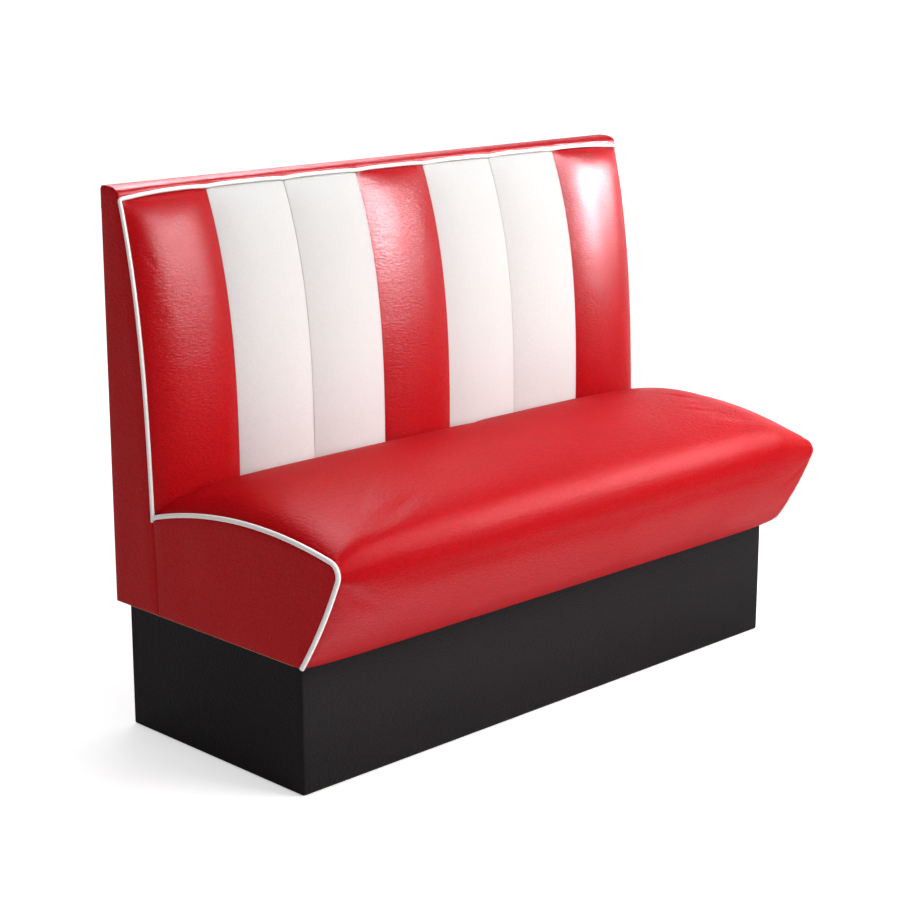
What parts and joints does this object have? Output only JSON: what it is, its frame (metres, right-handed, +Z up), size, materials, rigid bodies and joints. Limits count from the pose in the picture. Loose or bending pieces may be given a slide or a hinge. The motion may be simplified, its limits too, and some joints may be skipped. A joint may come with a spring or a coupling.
{
  "type": "restaurant booth bench",
  "caption": "Upholstered restaurant booth bench: crowned seat with a rolled front, a tall channelled back, piped edges and a set-back plinth.",
  "frame": {"origin": "on the floor, under the centre of the bench's plan", "axes": "+X along the bench to the sitter's left, +Y to the rear of the back, +Z up"},
  "size_m": [1.2, 0.5752, 0.92],
  "materials": {
    "red_leatherette": "glossy, fine pebble grain",
    "white_leatherette": "satin, fine pebble grain",
    "black_leatherette": "satin, fine grain",
    "white_welt": "satin vinyl welt",
    "foam": "open-cell polyurethane foam",
    "plywood": "sanded birch plywood",
    "timber": "planed softwood",
    "spring_steel": "oiled spring wire",
    "zinc": "zinc plated",
    "lining": "bonded fibre cloth",
    "nylon": "nylon with a steel nail"
  },
  "bodies": {
    "root": {"back_bent_board": "plywood", "back_channel_1": "red_leatherette", "back_channel_2": "white_leatherette", "back_channel_3": "white_leatherette", "back_channel_4": "red_leatherette", "back_channel_5": "white_leatherette", "back_channel_6": "white_leatherette", "back_channel_7": "red_leatherette", "back_left_middle_stile": "plywood", "back_left_side_cover": "red_leatherette", "back_left_stile": "plywood", "back_lower_rail": "timber", "back_rear_board": "plywood", "back_rear_cover": "red_leatherette", "back_right_middle_stile": "plywood", "back_right_side_cover": "red_leatherette", "back_right_stile": "plywood", "back_top_cover": "red_leatherette", "back_top_rail": "timber", "back_welt": "white_welt", "base_board": "plywood", "base_screws": "zinc", "glide_front_left": "nylon", "glide_front_right": "nylon", "glide_rear_left": "nylon", "glide_rear_right": "nylon", "joining_bolts": "zinc", "joining_nuts": "zinc", "joining_washers": "zinc", "plinth_centre_rail": "timber", "plinth_corner_blocks": "timber", "plinth_front_board": "plywood", "plinth_front_cover": "black_leatherette", "plinth_left_board": "plywood", "plinth_left_cover": "black_leatherette", "plinth_rear_board": "plywood", "plinth_rear_cover": "black_leatherette", "plinth_right_board": "plywood", "plinth_right_cover": "black_leatherette", "seat_cover": "red_leatherette", "seat_foam": "foam", "seat_front_board": "plywood", "seat_front_rail": "timber", "seat_left_board": "plywood", "seat_left_rib": "plywood", "seat_left_side_cover": "red_leatherette", "seat_left_welt": "white_welt", "seat_nose_rail": "timber", "seat_rear_rail": "timber", "seat_right_board": "plywood", "seat_right_rib": "plywood", "seat_right_side_cover": "red_leatherette", "seat_right_welt": "white_welt", "seat_springs": "spring_steel", "spring_clips": "spring_steel", "spring_cloth": "lining"}
  },
  "joints": []
}
